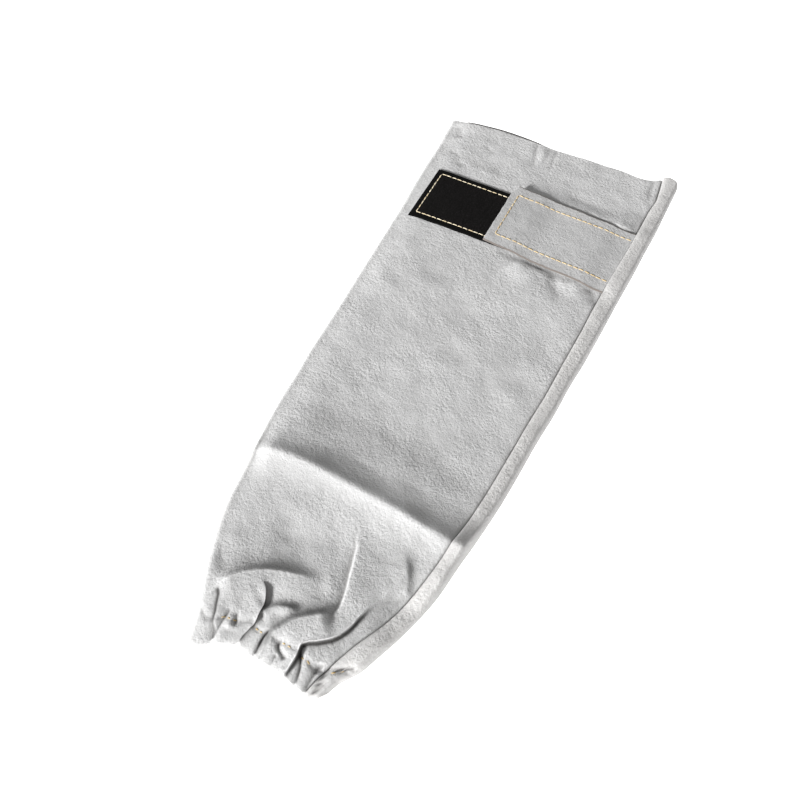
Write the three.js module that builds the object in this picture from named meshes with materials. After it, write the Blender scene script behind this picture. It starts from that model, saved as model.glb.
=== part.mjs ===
// A welder's protective sleeve of split leather, lying flat: one panel wrapped into a tube and closed by a seam,
// a turned hem gathered by an elastic at the wrist, and a strap that fastens over a loop patch at the upper arm.
// Millimetres. +Y runs from the wrist to the upper arm, +X to the seam and +Z up; the sleeve rests on Z = 0.
import * as THREE from "three";

// Sleeve, flat on the table
const LENGTH = 420;
const OPENING_WIDTH = 173;
const WRIST_WIDTH = 72;
const OPENING_HEIGHT = 11;
const WRIST_HEIGHT = 22;
const LEATHER = 1.5;
const FOLD_RADIUS = 4;
const ROLL_RADIUS = 6;
const EDGE_DROP = 2.6;
const EDGE_REACH = 14;

// Seam line, with the rolled band beside it
const BAND_FLAT = 3.6;
const BAND_RISE = 3;
const GROOVE_DEPTH = 1.1;
const GROOVE_WIDTH = 2.2;

// Turned hem, elastic and gathers at the wrist
const HEM_DEPTH = 15;
const ELASTIC = 1;
const HEM_CLEARANCE = 0.4;
const MOUTH_RADIUS = 3.5;
const GATHER_DEPTH = 1.1;
const RIM_BOW = 6;
const RIM_BOW_REACH = 60;

// Folds of the loose leather, with the dip beside the strap
const FOLD_RISE = 4;
const FOLD_WIDTH = 9;
const DIP_DEPTH = 1.4;
const DIP_REACH = 24;

// Strap, hook tape under it and loop patch on the sleeve
const STRAP_WIDTH = 57;
const STRAP_LENGTH = 88;
const STRAP_FROM_OPENING = 59;
const PATCH_LENGTH = 78;
const PATCH_THICKNESS = 1.6;
const PATCH_FROM_FOLD = 11;
const TAPE_THICKNESS = 1.2;
const TAPE_MARGIN = 3.5;
const TAPE_FROM_ROOT = 8;
const STRAP_EASE = 14;
const GAP = 0.3;

// Shares of the length between which the flat tube opens up to take the hem
const OPENS_FROM = 0.8;
const OPENS_BY = 0.96;

// Facets
const PANEL_COLUMNS = 32;
const BAND_COLUMNS = 2;
const ROLL_COLUMNS = 5;
const BACK_COLUMNS = 20;
const FOLD_COLUMNS = 4;
const STRAP_ROWS = 8;
const FOREARM_ROWS = 5;
const GATHERED_ROWS = 15;
const HEM_ROWS = 2;
const RIM_ROWS = 4;
const GATHER_COLUMNS = 4;
const GATHERED_FROM = 0.7;
const PLATE_FACET = 6;

// Flat half widths from the centre line to the folded edge and to the rolled edge, as shares of the way from the
// wrist's half width to the opening's, the band's flat as a share of BAND_FLAT, and the height as a share of the
// way from the opening's to the wrist's. "along" is the share of the length from the opening.
const SECTIONS = [
  { along: 0.0, folded: 0.98, rolled: 1.0, band: 1.25, height: 0.0 },
  { along: 0.15, folded: 0.915, rolled: 1.0, band: 1.3, height: 0.02 },
  { along: 0.29, folded: 0.84, rolled: 0.955, band: 1.3, height: 0.05 },
  { along: 0.5, folded: 0.77, rolled: 0.87, band: 1.0, height: 0.1 },
  { along: 0.7, folded: 0.695, rolled: 0.757, band: 0.9, height: 0.15 },
  { along: 0.78, folded: 0.585, rolled: 0.68, band: 0.9, height: 0.28 },
  { along: 0.86, folded: 0.483, rolled: 0.538, band: 0.7, height: 0.52 },
  { along: 0.91, folded: 0.373, rolled: 0.406, band: 0.75, height: 0.72 },
  { along: 0.96, folded: 0.178, rolled: 0.221, band: 1.2, height: 0.93 },
  { along: 1.0, folded: -0.04, rolled: 0.028, band: 0.7, height: 1.0 },
];

// Ridges and valleys of the loose leather: rise and width are shares of FOLD_RISE and FOLD_WIDTH, and each point
// of a path is the share of the way from the folded edge to the seam, then the share of the length.
const FOLDS = [
  { rise: 0.85, width: 1.3, path: [[-0.05, 0.768], [0.24, 0.762], [0.57, 0.768], [1.0, 0.776]] },
  { rise: -0.4, width: 1.6, path: [[0.05, 0.715], [0.4, 0.71], [0.9, 0.722]] },
  { rise: 0.75, width: 0.8, path: [[0.1, 0.948], [0.21, 0.928], [0.34, 0.911], [0.6, 0.886]] },
  { rise: -0.5, width: 0.7, path: [[0.25, 0.898], [0.5, 0.874]] },
  { rise: -0.6, width: 0.45, path: [[0.07, 0.95], [0.13, 0.968], [0.11, 1.0]] },
  { rise: -0.55, width: 0.5, path: [[0.37, 0.925], [0.43, 0.948], [0.38, 0.99]] },
  { rise: 0.5, width: 0.9, path: [[0.62, 0.8], [0.72, 0.87], [0.78, 0.915]] },
  { rise: 0.5, width: 0.5, path: [[0.78, 0.93], [0.68, 0.944], [0.6, 0.975]] },
  { rise: 0.7, width: 0.7, path: [[0.85, 0.845], [0.86, 0.9], [0.8, 0.945], [0.74, 0.985]] },
  { rise: -0.7, width: 0.5, path: [[0.93, 0.93], [0.82, 0.965], [0.84, 0.99]] },
];

const clamp = THREE.MathUtils.clamp;
const lerp = THREE.MathUtils.lerp;
const smoothstep = THREE.MathUtils.smoothstep;

// The leather turned in, the elastic and the outer leather, with the clearances between them
const hemStack = 2 * LEATHER + ELASTIC + 2 * HEM_CLEARANCE;
const rimHeight = hemStack / 2;
const hemShare = HEM_DEPTH / LENGTH;
const hemStart = 1 - hemShare;
const rimStart = 1 - rimHeight / LENGTH;

// The slope of one column of the section table at a row
function tableSlope(name, row) {
  const before = SECTIONS[Math.max(row - 1, 0)];
  const after = SECTIONS[Math.min(row + 1, SECTIONS.length - 1)];
  return (after[name] - before[name]) / (after.along - before.along);
}

// One column of the section table, read along a smooth curve through its rows
function sectionShare(name, along) {
  const place = clamp(along, 0, 1);
  const next = clamp(SECTIONS.findIndex((row) => row.along >= place), 1, SECTIONS.length - 1);
  const a = SECTIONS[next - 1];
  const b = SECTIONS[next];
  const run = b.along - a.along;
  const t = (place - a.along) / run;
  const ends = a[name] * (1 + 2 * t) * (1 - t) ** 2 + b[name] * t ** 2 * (3 - 2 * t);
  const slopes = tableSlope(name, next - 1) * t * (1 - t) ** 2 - tableSlope(name, next) * t ** 2 * (1 - t);
  return ends + run * slopes;
}

// How far the tube has opened up round the turned hem, from 0 on the forearm to 1 at the wrist
function hemOpening(along) {
  return smoothstep(along, OPENS_FROM, OPENS_BY);
}

function halfWidth(name, along) {
  return lerp(WRIST_WIDTH, OPENING_WIDTH, sectionShare(name, along)) / 2;
}

// The outer radius of a side edge, which grows to take the hem's layers
function edgeRadius(openRadius, along) {
  return lerp(openRadius, hemStack + MOUTH_RADIUS, hemOpening(along));
}

const foldedEdge = (along) => -halfWidth("folded", along);
const rolledEdge = (along) => halfWidth("rolled", along);
const rollStart = (along) => rolledEdge(along) - edgeRadius(ROLL_RADIUS, along);
const seamLine = (along) => rollStart(along) - BAND_FLAT * sectionShare("band", along);

// The place in millimetres of a point given as shares of the panel and of the length
function panelPlace([across, along]) {
  return new THREE.Vector3(lerp(foldedEdge(along), seamLine(along), across), along * LENGTH, 0);
}

// The height that one fold adds at a place: full along its path, and fading out past its two ends
function foldRise(fold, place) {
  const points = fold.path.map(panelPlace);
  const width = fold.width * FOLD_WIDTH;
  const distances = points.slice(1).map((end, i) => {
    const nearest = new THREE.Line3(points[i], end).closestPointToPoint(place, true, new THREE.Vector3());
    return nearest.distanceTo(place);
  });
  return fold.rise * FOLD_RISE * Math.exp(-((Math.min(...distances) / width) ** 2));
}

// The soft dip that the strap's upper edge bridges
function dip(x, along) {
  const middle = STRAP_FROM_OPENING / LENGTH;
  const far = Math.hypot(x - seamLine(along) / 2, (along - middle) * LENGTH);
  return DIP_DEPTH * Math.exp(-((far / DIP_REACH) ** 2));
}

// The height of the panel without the dip: what the patch and the strap lie on
function panelHeight(x, along) {
  const height = lerp(OPENING_HEIGHT, WRIST_HEIGHT, sectionShare("height", along));
  const edge = EDGE_DROP * Math.exp(-(((x - foldedEdge(along)) / EDGE_REACH) ** 2));
  const place = new THREE.Vector3(x, along * LENGTH, 0);
  const folds = FOLDS.reduce((sum, fold) => sum + foldRise(fold, place), 0);
  return height - edge + folds;
}

// The height of the outer leather: the panel, the groove at the seam and the raised band beside it
function topHeight(x, along) {
  const fromSeam = x - seamLine(along);
  const groove = GROOVE_DEPTH * clamp(1 - Math.abs(fromSeam) / GROOVE_WIDTH, 0, 1);
  const rise = BAND_RISE * clamp(fromSeam / GROOVE_WIDTH, 0, 1) * (1 - hemOpening(along) / 2);
  return panelHeight(x, along) - dip(x, along) - groove + rise;
}

// How strongly the elastic gathers the leather, from nothing above the hem to all at the rim
function gatherStrength(along) {
  return GATHER_DEPTH * smoothstep(along, hemStart - hemShare, 1);
}

// One closed turn round the tube at a place along it, at a depth below the outer surface: across the front panel,
// over the band, round the rolled edge, back underneath and round the folded edge
function turn(along, depth) {
  const left = foldedEdge(along) + edgeRadius(FOLD_RADIUS, along);
  const right = rollStart(along);
  const seam = seamLine(along);
  const points = [];
  const across = (from, to, count, pointAt) => {
    for (let i = 0; i < count; i += 1) points.push(pointAt(lerp(from, to, i / count), i));
  };
  const front = (x, gather) => [x, topHeight(x, along) + gather - depth];
  const wave = (i) => Math.cos((2 * Math.PI * i) / GATHER_COLUMNS);
  across(left, seam - GROOVE_WIDTH, PANEL_COLUMNS, (x, i) =>
    front(x, gatherStrength(along) * wave(i)));
  across(seam - GROOVE_WIDTH, seam, 1, (x) => front(x, 0));
  across(seam, seam + GROOVE_WIDTH, 1, (x) => front(x, 0));
  across(seam + GROOVE_WIDTH, right, BAND_COLUMNS, (x) => front(x, 0));
  const edge = (x, radius, way, gather, count) => {
    const middle = (topHeight(x, along) + gather) / 2;
    across(0, Math.PI, count, (angle) => [
      x + way * (radius - depth) * Math.sin(angle),
      middle + way * (middle - depth) * Math.cos(angle),
    ]);
  };
  edge(right, edgeRadius(ROLL_RADIUS, along), 1, 0, ROLL_COLUMNS);
  across(right, left, BACK_COLUMNS, (x, i) => [
    x,
    depth + (gatherStrength(along) * (1 - wave(i))) / 2,
  ]);
  edge(left, edgeRadius(FOLD_RADIUS, along), -1, gatherStrength(along), FOLD_COLUMNS);
  return points;
}

// The rim bows in at its middle, and the leather above it follows
function bowed(x, along) {
  const middle = (rolledEdge(along) + foldedEdge(along)) / 2;
  const half = (rolledEdge(along) - foldedEdge(along)) / 2;
  const bow = Math.cos((Math.PI / 2) * clamp((x - middle) / half, -1, 1));
  const follow = smoothstep(along * LENGTH, LENGTH - RIM_BOW_REACH, LENGTH);
  return along * LENGTH - RIM_BOW * bow * follow;
}

// A closed body wound from rings that each run round the tube, the last joined to the first
function ringBody(rings) {
  const columns = turn(0, 0).length;
  const positions = [];
  const index = [];
  rings.forEach(({ along, depth }) => {
    turn(along, depth).forEach(([x, z]) => positions.push(x, -bowed(x, along), z));
  });
  const at = (ring, column) => (ring % rings.length) * columns + (column % columns);
  for (let ring = 0; ring < rings.length; ring += 1)
    for (let column = 0; column < columns; column += 1) {
      index.push(at(ring, column), at(ring + 1, column), at(ring + 1, column + 1));
      index.push(at(ring, column), at(ring + 1, column + 1), at(ring, column + 1));
    }
  const geometry = new THREE.BufferGeometry();
  geometry.setAttribute("position", new THREE.Float32BufferAttribute(positions, 3));
  return geometry.setIndex(index);
}

// Shares evenly spaced from one place up to, and without, another
function steps(from, to, count) {
  return Array.from({ length: count }, (_, i) => lerp(from, to, i / count));
}

const strapZone = (STRAP_FROM_OPENING + STRAP_WIDTH) / LENGTH;
const bodyRows = [
  ...steps(0, strapZone, STRAP_ROWS),
  ...steps(strapZone, GATHERED_FROM, FOREARM_ROWS),
  ...steps(GATHERED_FROM, hemStart, GATHERED_ROWS),
];
const hemRows = [...steps(hemStart, rimStart, HEM_ROWS), rimStart];

// The tube of leather: down the outside, round the rim, up inside the hem, back down in the pocket that holds the
// elastic, and up the inside to the opening
function sleeveBody() {
  const layer = (rows, depth) => rows.map((along) => ({ along, depth }));
  const rim = steps(0, 1, RIM_ROWS).slice(1).map((share) => ({
    along: 1 - (rimHeight / LENGTH) * (1 - Math.sin(Math.PI * share)),
    depth: (hemStack / 2) * (1 - Math.cos(Math.PI * share)),
  }));
  const pocketFloor = 1 - LEATHER / LENGTH;
  return ringBody([
    ...layer([...bodyRows, ...hemRows], 0),
    ...rim,
    ...layer([...hemRows].reverse(), hemStack),
    ...layer([...hemRows, pocketFloor], hemStack - LEATHER),
    ...layer([pocketFloor, ...[...hemRows].reverse(), ...[...bodyRows].reverse()], LEATHER),
  ]);
}

// The elastic band, loose in the pocket of the hem
function elasticBody() {
  const rows = hemRows.slice(1);
  const outer = LEATHER + HEM_CLEARANCE;
  return ringBody([
    ...rows.map((along) => ({ along, depth: outer })),
    ...[...rows].reverse().map((along) => ({ along, depth: outer + ELASTIC })),
  ]);
}

// A thin closed plate that follows the panel: placeAt gives x and the share of the length for a point of the plate,
// liftAt its height over the panel at x
function plateBody(length, width, thickness, placeAt, liftAt) {
  const columns = Math.ceil(length / PLATE_FACET);
  const rows = Math.ceil(width / PLATE_FACET);
  const positions = [];
  const index = [];
  for (const layer of [0, thickness])
    for (let row = 0; row <= rows; row += 1)
      for (let column = 0; column <= columns; column += 1) {
        const [x, along] = placeAt(column / columns, row / rows);
        positions.push(x, -along * LENGTH, panelHeight(x, along) + liftAt(x) + layer);
      }
  const at = (layer, row, column) => (layer * (rows + 1) + row) * (columns + 1) + column;
  const quad = (a, b, c, d) => index.push(a, b, c, a, c, d);
  for (let row = 0; row < rows; row += 1)
    for (let column = 0; column < columns; column += 1) {
      quad(at(1, row, column), at(1, row + 1, column), at(1, row + 1, column + 1), at(1, row, column + 1));
      quad(at(0, row, column), at(0, row, column + 1), at(0, row + 1, column + 1), at(0, row + 1, column));
    }
  for (let row = 0; row < rows; row += 1) {
    quad(at(0, row, 0), at(0, row + 1, 0), at(1, row + 1, 0), at(1, row, 0));
    quad(at(0, row + 1, columns), at(0, row, columns), at(1, row, columns), at(1, row + 1, columns));
  }
  for (let column = 0; column < columns; column += 1) {
    quad(at(0, 0, column + 1), at(0, 0, column), at(1, 0, column), at(1, 0, column + 1));
    quad(at(0, rows, column), at(0, rows, column + 1), at(1, rows, column + 1), at(1, rows, column));
  }
  const geometry = new THREE.BufferGeometry();
  geometry.setAttribute("position", new THREE.Float32BufferAttribute(positions, 3));
  return geometry.setIndex(index);
}

// Where the strap, the tape and the patch start and end across the sleeve
const tapeWidth = STRAP_WIDTH - 2 * TAPE_MARGIN;
const strapMiddle = (STRAP_FROM_OPENING + STRAP_WIDTH / 2) / LENGTH;
const strapRoot = (along) => seamLine(along) - GROOVE_WIDTH;
const strapEnd = strapRoot(strapMiddle) - STRAP_LENGTH;
const tapeEnd = (along) => strapRoot(along) - TAPE_FROM_ROOT;
const patchStart = foldedEdge(strapMiddle) + PATCH_FROM_FOLD;
const patchEnd = patchStart + PATCH_LENGTH;

// The share of the length at a share of a width centred on the strap
function acrossStrap(width, share) {
  return strapMiddle + ((share - 0.5) * width) / LENGTH;
}

// The tape lies over the patch and comes down to the panel beyond it
function tapeLift(x) {
  const overPatch = 1 - smoothstep(x, patchEnd + GAP, patchEnd + GAP + STRAP_EASE);
  return GAP + (PATCH_THICKNESS + GAP) * overPatch;
}

// The strap lies over the tape and comes down to the panel at its root
function strapLift(x) {
  const overTape = 1 - smoothstep(x, tapeEnd(strapMiddle) + TAPE_THICKNESS, strapRoot(strapMiddle));
  return tapeLift(x) + (TAPE_THICKNESS + GAP) * overTape;
}

function loopPatchBody() {
  const placeAt = (u, v) => [lerp(patchStart, patchEnd, u), acrossStrap(tapeWidth, v)];
  return plateBody(PATCH_LENGTH, tapeWidth, PATCH_THICKNESS, placeAt, () => GAP);
}

function hookTapeBody() {
  const placeAt = (u, v) => {
    const along = acrossStrap(tapeWidth, v);
    return [lerp(strapEnd + TAPE_MARGIN, tapeEnd(along), u), along];
  };
  return plateBody(STRAP_LENGTH - TAPE_FROM_ROOT, tapeWidth, TAPE_THICKNESS, placeAt, tapeLift);
}

function strapBody() {
  const placeAt = (u, v) => {
    const along = acrossStrap(STRAP_WIDTH, v);
    return [lerp(strapEnd, strapRoot(along), u), along];
  };
  return plateBody(STRAP_LENGTH, STRAP_WIDTH, LEATHER, placeAt, strapLift);
}

const suede = { color: 0xc9c8c6, roughness: 0.95, metalness: 0 };
const pieces = [
  { name: "leather_sleeve", body: sleeveBody(), finish: suede },
  { name: "cuff_elastic", body: elasticBody(), finish: { color: 0xe8e4d8, roughness: 0.8, metalness: 0 } },
  { name: "closing_strap", body: strapBody(), finish: suede },
  { name: "loop_patch", body: loopPatchBody(), finish: { color: 0x1b1a1c, roughness: 0.9, metalness: 0 } },
  { name: "hook_tape", body: hookTapeBody(), finish: { color: 0x202022, roughness: 0.6, metalness: 0 } },
];

// The origin is the middle of the bounding box's bottom
const sleeve = new THREE.Group();
for (const { name, body, finish } of pieces) {
  const mesh = new THREE.Mesh(body, new THREE.MeshStandardMaterial(finish));
  mesh.name = name;
  sleeve.add(mesh);
}
const box = new THREE.Box3().setFromObject(sleeve);
const centre = box.getCenter(new THREE.Vector3());
for (const mesh of sleeve.children) mesh.position.set(-centre.x, -centre.y, -box.min.z);

export default sleeve;
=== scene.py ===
"""A welder's sleeve of napped split leather, lying flat on a pale table.

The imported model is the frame. The soft pieces here replace its plain solids: the leather tube with its folds
and gathered cuff, the strap, the loop patch, the hook tape and the elastic. Stitches are added on top.

Lengths are in millimetres until a mesh is made. "Along" is the distance from the opening towards the wrist
and "across" the distance from the sleeve's centre line, positive to the seam.
"""

import math

import bpy
import numpy as np
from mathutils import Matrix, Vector


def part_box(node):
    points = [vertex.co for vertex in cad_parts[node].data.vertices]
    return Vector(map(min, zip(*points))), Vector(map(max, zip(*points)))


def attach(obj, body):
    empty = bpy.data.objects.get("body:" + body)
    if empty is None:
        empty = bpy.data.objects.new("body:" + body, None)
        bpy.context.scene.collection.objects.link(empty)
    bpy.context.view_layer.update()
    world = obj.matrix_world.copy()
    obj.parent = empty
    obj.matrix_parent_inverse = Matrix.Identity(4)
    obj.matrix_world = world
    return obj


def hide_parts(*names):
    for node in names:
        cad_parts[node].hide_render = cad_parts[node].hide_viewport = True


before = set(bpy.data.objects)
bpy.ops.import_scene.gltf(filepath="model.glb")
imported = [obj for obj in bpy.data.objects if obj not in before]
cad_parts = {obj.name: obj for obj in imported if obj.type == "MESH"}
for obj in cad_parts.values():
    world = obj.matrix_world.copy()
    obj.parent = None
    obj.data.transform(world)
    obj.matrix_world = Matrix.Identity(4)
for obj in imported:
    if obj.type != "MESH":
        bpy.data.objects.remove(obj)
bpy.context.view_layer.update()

MM = 0.001

# The sleeve's place in the frame
OPENING_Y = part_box("leather_sleeve")[1].y / MM
CENTRE_X = -0.44

# Leather tube
LENGTH = 420.0
LEATHER = 1.5
FOLD_RADIUS = 3.4
FOLD_RADIUS_WRIST = 6.5
ROLL_RADIUS = 3.0
ROLL_RADIUS_WRIST = 3.8
EDGE_DROP = 2.2
EDGE_REACH = 11.0
GROOVE_DEPTH = 1.5
GROOVE_REACH = 0.9
SIDE_DROP = 5.5
BAND_RISE = 2.5
BAND_RISE_WRIST = 1.4
BAND_WALL = 0.55
BAND_FALL = 0.4
SWELL = 0.55
CUFF_FROM = 330.0

# Turned hem with the elastic in it
HEM_DEPTH = 15.0
HEM_THICKNESS = 4.0
ELASTIC = 0.8
POCKET_PLAY = 0.1
HEM_SEAM_DEPTH = 0.55
HEM_SEAM_REACH = 1.3
HEM_SEAM = LENGTH - HEM_DEPTH + 2.5
GATHER = 0.55
BACK_GATHER = 1.1

# The least height of the front leather: at the cuff, how much lower above it, and how softly it is held
LEAST_HEIGHT = 8.4
LEAST_HEIGHT_FALL = 5.5
LEAST_HEIGHT_SOFT = 0.7

# Strap, hook tape and loop patch
STRAP_TOP = 59.2
STRAP_WIDTH = 57.6
STRAP_RUN = 88.0
STRAP_END = -12.8
STRAP_CHAMFER = (2.4, 10.0)
STRAP_SLANT = 3.6
STRAP_LIFT = 0.7
TAPE_MARGIN = 3.5
TAPE_THICKNESS = 0.9
TAPE_FROM_ROOT = 8.0
PATCH_START = -69.4
PATCH_TOP = 65.5
PATCH_LENGTH = 75.0
PATCH_WIDTH = 49.4
PATCH_THICKNESS = 1.6
PILE_RISE = 0.35
PATCH_SELVAGE = 4.4
PATCH_LEAST = 0.9
SUPPORT_EASE = 0.3
LAYER_GAP = 0.15
EASE_FROM = 5.0
EASE_TO = 24.0

# Stitches
STITCH_PITCH = 4.0
STITCH_WIDTH = 0.75
STITCH_HEIGHT = 0.42
PATCH_STITCH_INSET = 4.2
PATCH_STITCH_RUN = 70.0

# Outline: along, then across to the folded edge, the seam and the rolled edge
OUTLINE = np.array([
    (0, -85.3, 75.4, 87.4), (14, -84.6, 77.2, 87.5), (24, -84.0, 78.0, 87.5),
    (34, -83.4, 77.0, 87.4), (60, -81.9, 76.3, 87.0), (120, -78.6, 73.3, 84.6),
    (180, -76.1, 71.5, 81.9), (210, -74.8, 70.2, 80.0), (250, -73.2, 68.0, 77.6),
    (290, -71.0, 65.6, 74.8), (310, -68.2, 63.5, 72.4), (325, -65.8, 61.5, 70.7),
    (350, -62.6, 57.2, 67.2), (365, -59.6, 53.2, 63.2), (380, -55.2, 47.8, 58.6),
    (395, -49.4, 40.2, 53.2), (405, -44.8, 34.4, 49.2), (412, -41.2, 31.2, 44.4),
    (420, -38.0, 29.0, 38.6),
])

# Height of the front leather: along, then height
HEIGHTS = np.array([
    (0, 8.3), (30, 9.4), (60, 10.4), (120, 11.4), (210, 12.2), (285, 12.8), (305, 13.2),
    (322, 13.8), (345, 14.8), (375, 16.7), (395, 17.9), (406, 17.3), (414, 16.1), (420, 15.0),
])

# Cut edge at the opening: across, then along
OPENING_EDGE = np.array([
    (-86, 8.5), (-77, 9.2), (-63, 8.0), (-48, 6.4), (-30, 6.6), (0, 6.2), (45, 5.8), (70, 4.8),
    (76, 0.6), (80, -0.9), (85, 0.2), (88, 2.6),
])
BACK_EDGE = np.array([
    (-86, 8.6), (-82, 6.4), (-76, 1.8), (-63, -0.9), (-48, -2.6), (-32, -2.6), (-18, -1.6),
    (-8, 0.2), (2, 2.0), (40, 3.0), (70, 2.4), (76, 0.8), (88, 2.8),
])

# Rim of the cuff: across, then along
RIM_EDGE = np.array([
    (-40, 426.0), (-34, 431.5), (-25, 427.2), (-12, 422.6), (0, 424.4), (13, 424.4), (26, 426.6),
    (34, 427.2), (42, 420.6),
])
BACK_RIM_TUCK = 4.0

# Notches that the gathers pull into the rim: across, then depth and half width
RIM_NOTCHES = [
    (-24.4, 1.5, 1.8), (-12.6, 2.3, 1.6), (-1.2, 1.3, 1.3), (3.0, 0.9, 1.3), (15.9, 0.8, 1.2),
    (23.2, 0.7, 1.1), (28.9, 0.9, 1.1), (33.6, 0.9, 1.1),
]


def smooth_step(value, start, end):
    """0 before start, 1 after end and an eased run between them."""
    t = np.clip((value - start) / (end - start), 0.0, 1.0)
    return t * t * (3 - 2 * t)


def read_table(table, column, place):
    """One column of a table, read along a smooth curve through its rows."""
    places = table[:, 0]
    values = table[:, column]
    slopes = np.gradient(values, places)
    i = np.clip(np.searchsorted(places, place, side="right") - 1, 0, len(places) - 2)
    run = places[i + 1] - places[i]
    t = np.clip((place - places[i]) / run, 0.0, 1.0)
    ends = values[i] * (1 + 2 * t) * (1 - t) ** 2 + values[i + 1] * t ** 2 * (3 - 2 * t)
    return ends + run * (slopes[i] * t * (1 - t) ** 2 - slopes[i + 1] * t ** 2 * (1 - t))


def soft_noise(across, along, size, seed):
    """Smooth random ups and downs from -1 to 1, with bumps about size millimetres apart."""
    lattice = np.random.default_rng(seed).uniform(-1, 1, (128, 128))
    u = np.asarray(across, float) / size + 40
    v = np.asarray(along, float) / size + 20
    i = np.floor(u).astype(int)
    j = np.floor(v).astype(int)
    fu = smooth_step(u - i, 0, 1)
    fv = smooth_step(v - j, 0, 1)
    top = lattice[i % 128, j % 128] * (1 - fu) + lattice[(i + 1) % 128, j % 128] * fu
    low = lattice[i % 128, (j + 1) % 128] * (1 - fu) + lattice[(i + 1) % 128, (j + 1) % 128] * fu
    return top * (1 - fv) + low * fv


def edge_noise(place, size, seed):
    """Smooth random ups and downs along an edge."""
    return soft_noise(place, 0 * place, size, seed)


class Fold:
    """A fold in the leather, drawn as a smooth line on the sleeve.

    The leather on the line's left, as one walks along it, is the high side, which stands rise above the
    sleeve at the line and dies out over reach. The low side falls away from the line within about edge, is
    drop deep and dies out over trough. Bulge makes the fall fuller, lip is a crisp raised edge, lap slides
    the high side over the low one, and soft rounds off the line itself. Ends are the shares of the line over
    which the fold runs out. Dark is how strongly painted shade darkens the colour of the crevice that lies
    dark_at from the line on the low side, over dark_width.
    """

    def __init__(self, line, rise, reach, drop, trough, edge, lip=0.0, lap=0.0, ends=(0.15, 0.15), peak=2.0,
                 soft=0.0, bulge=1.2, dark=0.0, dark_at=0.0, dark_width=0.7):
        points = np.array(line, float)
        steps = np.concatenate([[0], np.cumsum(np.hypot(*np.diff(points, axis=0).T))])
        fine = np.linspace(0, steps[-1], max(int(steps[-1] / 0.7), 12))
        table = np.column_stack([steps, points])
        self.line = np.column_stack([read_table(table, 1, fine), read_table(table, 2, fine)])
        self.rise, self.reach, self.drop, self.trough = rise, reach, drop, trough
        self.edge, self.lip, self.lap, self.ends = edge, lip, lap, ends
        self.peak, self.soft, self.bulge = peak, soft, bulge
        self.dark, self.dark_at, self.dark_width = dark, dark_at, dark_width

    def near(self, across, along):
        """Which places the fold can reach at all."""
        margin = 3.2 * max(self.reach, self.trough, self.edge)
        low = self.line.min(0) - margin
        high = self.line.max(0) + margin
        return (across > low[0]) & (across < high[0]) & (along > low[1]) & (along < high[1])

    def measure(self, across, along):
        """Signed distance from the line, the unit way to its high side, and how full the fold is there."""
        place = np.column_stack([across, along])
        start = self.line[:-1]
        run = np.diff(self.line, axis=0)
        share = ((place[:, None] - start[None]) * run[None]).sum(2) / (run ** 2).sum(1)[None]
        share = np.clip(share, 0, 1)
        away = place[:, None] - (start[None] + share[..., None] * run[None])
        far = np.hypot(away[..., 0], away[..., 1])
        i = far.argmin(1)
        rows = np.arange(len(place))
        tangent = run[i] / np.hypot(*run[i].T)[:, None]
        left = np.column_stack([tangent[:, 1], -tangent[:, 0]])
        side = (away[rows, i] * left).sum(1)
        distance = np.where(side < 0, far[rows, i], -far[rows, i])
        progress = (i + share[rows, i]) / len(run)
        first, last = self.ends
        full = np.ones(len(place))
        if first:
            full = full * smooth_step(progress, 0, first)
        if last:
            full = full * smooth_step(1 - progress, 0, last)
        return distance, -left, full

    def heights(self, across, along):
        """What the fold adds to the height at each place."""
        added = np.zeros(np.shape(across))
        near = self.near(across, along)
        if not near.any():
            return added
        t, _, full = self.measure(across[near], along[near])
        far = np.sqrt(t ** 2 + self.soft ** 2) - self.soft
        high = self.rise * np.exp(-(far / self.reach) ** self.peak) + self.lip * np.exp(-far / 0.9)
        fall = (self.rise + self.drop + self.lip) * np.exp(-(far / self.edge) ** self.bulge)
        low = fall - self.drop * np.exp(-far / self.trough)
        widest = max(self.reach, self.trough, self.edge)
        full = full * (1 - smooth_step(far, 2.0 * widest, 3.1 * widest))
        added[near] = full * np.where(t > 0, high, low)
        return added

    def slide(self, across, along):
        """How far the high side slides over the low side at each place: across and along."""
        moved = np.zeros(np.shape(across) + (2,))
        near = self.near(across, along)
        if not self.lap or not near.any():
            return moved
        t, way, full = self.measure(across[near], along[near])
        share = np.exp(-(np.abs(t) / 4.0) ** 2) * smooth_step(t, -1.2, 0.8)
        moved[near] = -way * (self.lap * full * share)[:, None]
        return moved

    def shade(self, across, along):
        """How strongly painted shade darkens the colour at each place in the fold's crevice."""
        shaded = np.zeros(np.shape(across))
        near = self.near(across, along)
        if not self.dark or not near.any():
            return shaded
        t, _, full = self.measure(across[near], along[near])
        shaded[near] = self.dark * full * np.exp(-(((t + self.dark_at) / self.dark_width) ** 2))
        return shaded * (1 - 0.5 * smooth_step(along, 411, 420))


def crease(line, depth, width, ends=(0.2, 0.0), dark=0.0):
    """A narrow valley, the same on both sides."""
    return Fold(line, -depth, width, depth, width, 0.3, ends=ends, peak=1.0, soft=0.2 * width, dark=dark)


def ridge(line, height, width, ends=(0.3, 0.3)):
    """A soft ridge, the same on both sides."""
    return Fold(line, height, width, -height, width, 0.3, ends=ends, peak=1.0, soft=0.4 * width)


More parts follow.
